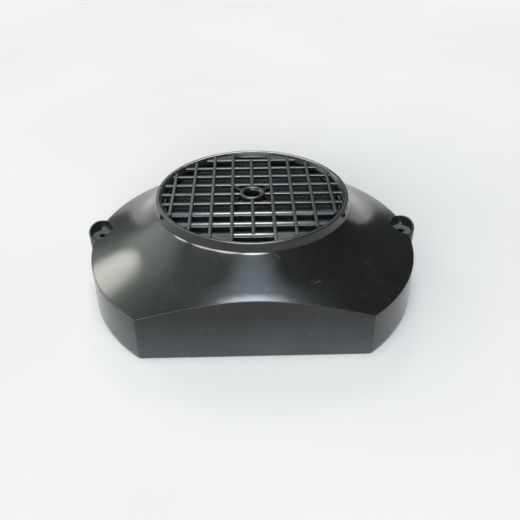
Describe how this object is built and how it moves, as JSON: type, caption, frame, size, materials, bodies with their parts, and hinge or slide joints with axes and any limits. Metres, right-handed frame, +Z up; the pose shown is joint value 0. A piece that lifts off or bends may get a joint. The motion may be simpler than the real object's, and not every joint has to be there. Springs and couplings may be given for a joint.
{
  "type": "air filter housing",
  "caption": "Round black air filter housing with a flat front, a flared top with a square-grid intake grille, side screw lugs, and a pleated ring element on a base plate with an outlet.",
  "frame": {"origin": "middle of the footprint, on the surface that the housing stands on", "axes": "+Z up through the grille, +X towards the right lug, -Y towards the flat front"},
  "size_m": [0.2108, 0.178, 0.0614],
  "materials": {
    "cover_plastic": "satin black moulding with fine scuffs",
    "grille_plastic": "satin black moulding",
    "inner_plastic": "fine-grained black moulding",
    "foam": "open-cell foam",
    "rubber": "matt black",
    "urethane": "soft moulded urethane",
    "filter_paper": "resin-treated pleated paper",
    "plated_steel": "zinc plated"
  },
  "bodies": {
    "base": {"base_plate": "inner_plastic", "perimeter_seal": "rubber", "outlet_seal": "rubber", "base_screw_1": "plated_steel", "base_screw_2": "plated_steel", "base_screw_3": "plated_steel", "base_screw_4": "plated_steel", "base_screw_5": "plated_steel", "base_screw_6": "plated_steel"},
    "cover": {"cover_shell": "cover_plastic", "intake_grille": "grille_plastic", "prefilter_foam": "foam", "foam_retainer": "inner_plastic", "retainer_screw_1": "plated_steel", "retainer_screw_2": "plated_steel", "retainer_screw_3": "plated_steel", "retainer_screw_4": "plated_steel", "lug_sleeve_left": "plated_steel", "lug_sleeve_right": "plated_steel"},
    "element": {"element_bottom_seal": "urethane", "element_media": "filter_paper", "element_core": "plated_steel", "element_top_cap": "urethane", "stud_grommet": "rubber"}
  },
  "joints": [
    {"name": "cover_lift", "type": "slide", "parent": "base", "child": "cover", "axis": [0, 0, 1], "range_m": [0, 0.12]},
    {"name": "element_lift", "type": "slide", "parent": "base", "child": "element", "axis": [0, 0, 1], "range_m": [0, 0.054]}
  ],
  "couplings": [
    {"joint": "element_lift", "follows": "cover_lift", "ratio": 0.45}
  ]
}
